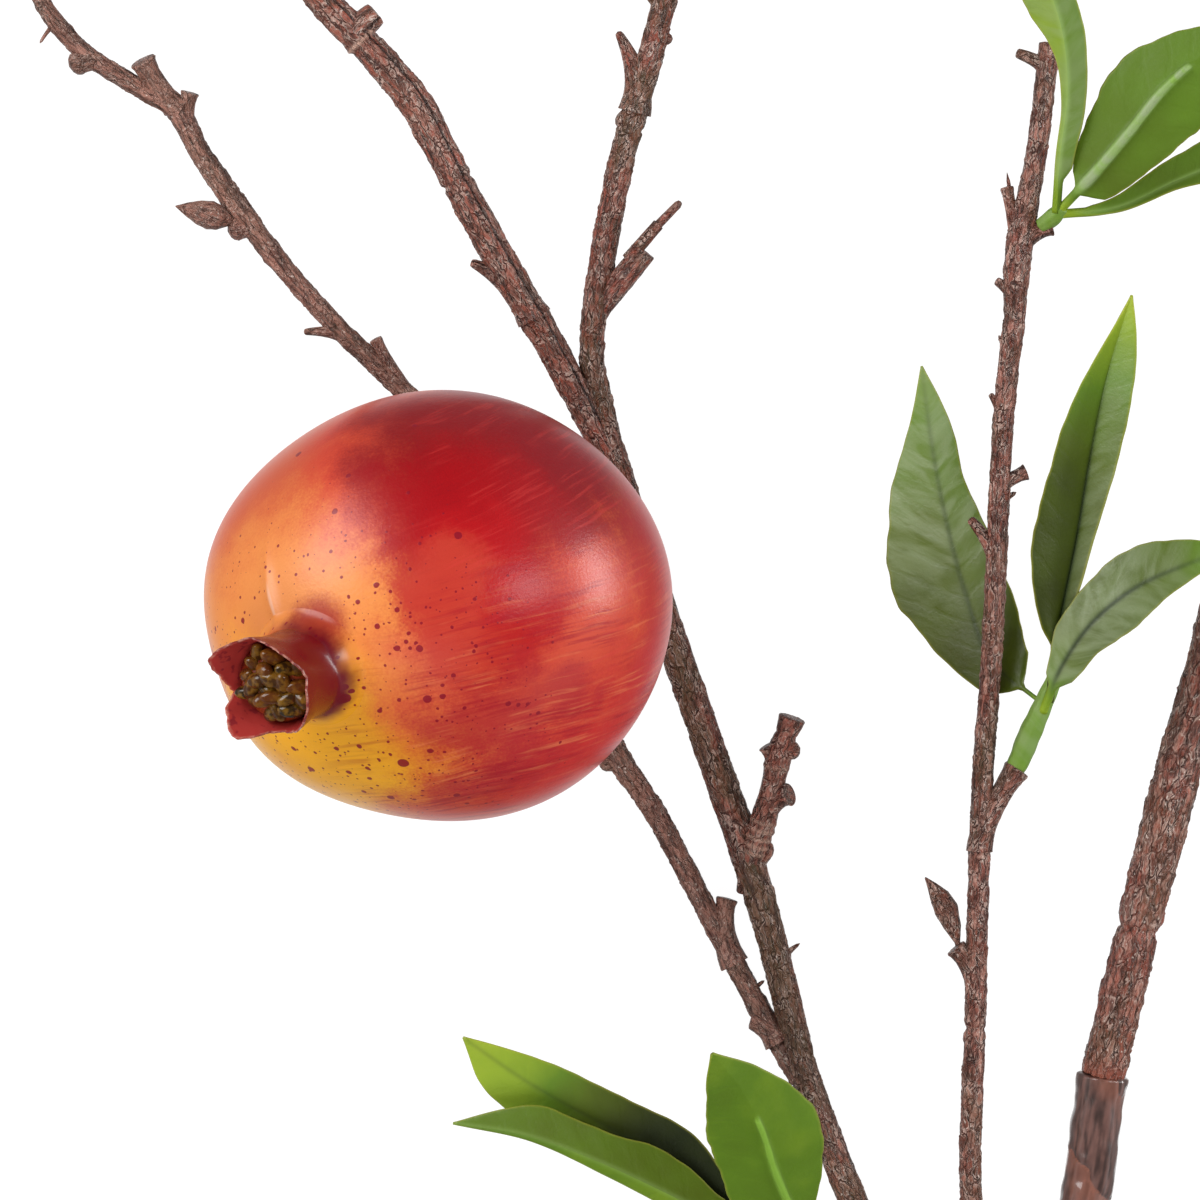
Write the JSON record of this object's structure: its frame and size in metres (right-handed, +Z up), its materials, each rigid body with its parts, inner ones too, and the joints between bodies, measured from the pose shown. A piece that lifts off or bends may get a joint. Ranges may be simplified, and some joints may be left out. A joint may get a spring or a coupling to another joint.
{
  "type": "artificial pomegranate branch",
  "caption": "Cut decorative branch lying flat, with a round red fruit and its toothed calyx, moulded brown boughs with buds, and sprigs of narrow green leaves.",
  "frame": {"origin": "middle of the branch's footprint, on the flat surface that it lies on", "axes": "+X and +Y lie in the surface, +Y from the stalk's cut end to the upper leaves, +Z up from the surface"},
  "size_m": [0.3366, 0.4365, 0.0966],
  "materials": {
    "tape": "satin floral tape wrap",
    "bark": "moulded bark, satin",
    "fruit_skin": "painted and lacquered",
    "calyx": "painted, thin cut rims",
    "stamens": "glossy beads",
    "leaves": "satin pressed leaves with moulded ribs"
  },
  "bodies": {
    "root": {"main_stalk": "tape", "right_bough_1": "bark", "right_bough_2": "bark", "leaf_bough_1": "bark", "leaf_bough_2": "bark", "leaf_bough_3": "bark", "fruit_bough": "bark", "middle_bough": "bark", "fruit_twig_1": "bark", "fruit_twig_2": "bark", "upper_left_bough_1": "bark", "upper_left_bough_2": "bark", "upper_bough_1": "bark", "upper_bough_2": "bark", "knobbed_spur": "bark", "fruit_stalk": "bark", "fruit": "fruit_skin", "calyx": "calyx", "stamens": "stamens", "lower_left_leaves": "leaves", "side_leaves": "leaves", "tip_leaves": "leaves", "upper_left_leaves": "leaves", "upper_leaves": "leaves", "right_tip_leaves": "leaves", "right_side_leaves": "leaves"}
  },
  "joints": []
}
